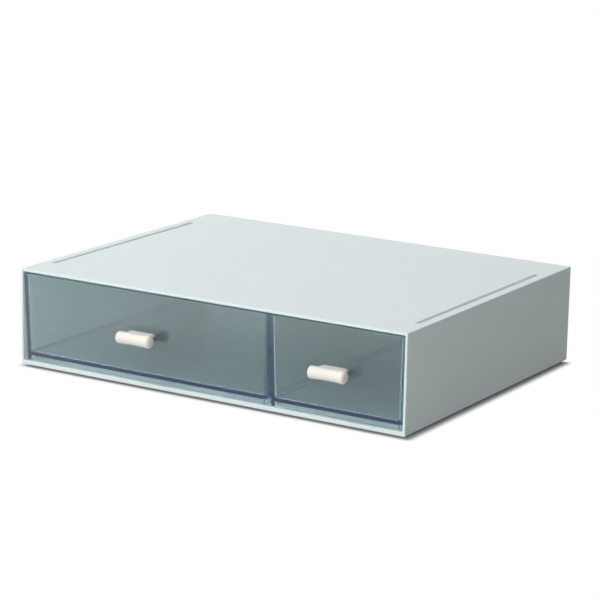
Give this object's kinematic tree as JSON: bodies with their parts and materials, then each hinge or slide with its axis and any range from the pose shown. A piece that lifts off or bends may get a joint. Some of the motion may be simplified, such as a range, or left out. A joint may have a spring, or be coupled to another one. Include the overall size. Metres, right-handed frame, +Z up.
{
  "type": "drawer organizer",
  "caption": "Low desktop organizer: an open-fronted moulded case with a wide and a narrow clear drawer side by side, bar handles and grooves on top for stacking.",
  "frame": {"origin": "on the standing surface, under the middle of the overall box with the handles counted in", "axes": "+X across the width to the right as seen from the front, +Y to the back, +Z up"},
  "size_m": [0.3, 0.2422, 0.0683],
  "materials": {
    "case_plastic": "fine matt mint green moulding",
    "clear_plastic": "polished clear moulding with a faint blue tint",
    "handle_plastic": "satin off-white moulding",
    "screw_steel": "plain zinc-plated"
  },
  "bodies": {
    "case": {"case_shell": "case_plastic", "back_panel": "case_plastic"},
    "left_drawer": {"left_drawer_tray": "clear_plastic", "left_handle": "handle_plastic", "left_handle_screws": "screw_steel"},
    "right_drawer": {"right_drawer_tray": "clear_plastic", "right_handle": "handle_plastic", "right_handle_screws": "screw_steel"}
  },
  "joints": [
    {"name": "left_drawer_slide", "type": "slide", "parent": "case", "child": "left_drawer", "axis": [0, -1, 0], "range_m": [0, 0.165]},
    {"name": "right_drawer_slide", "type": "slide", "parent": "case", "child": "right_drawer", "axis": [0, -1, 0], "range_m": [0, 0.165]}
  ]
}
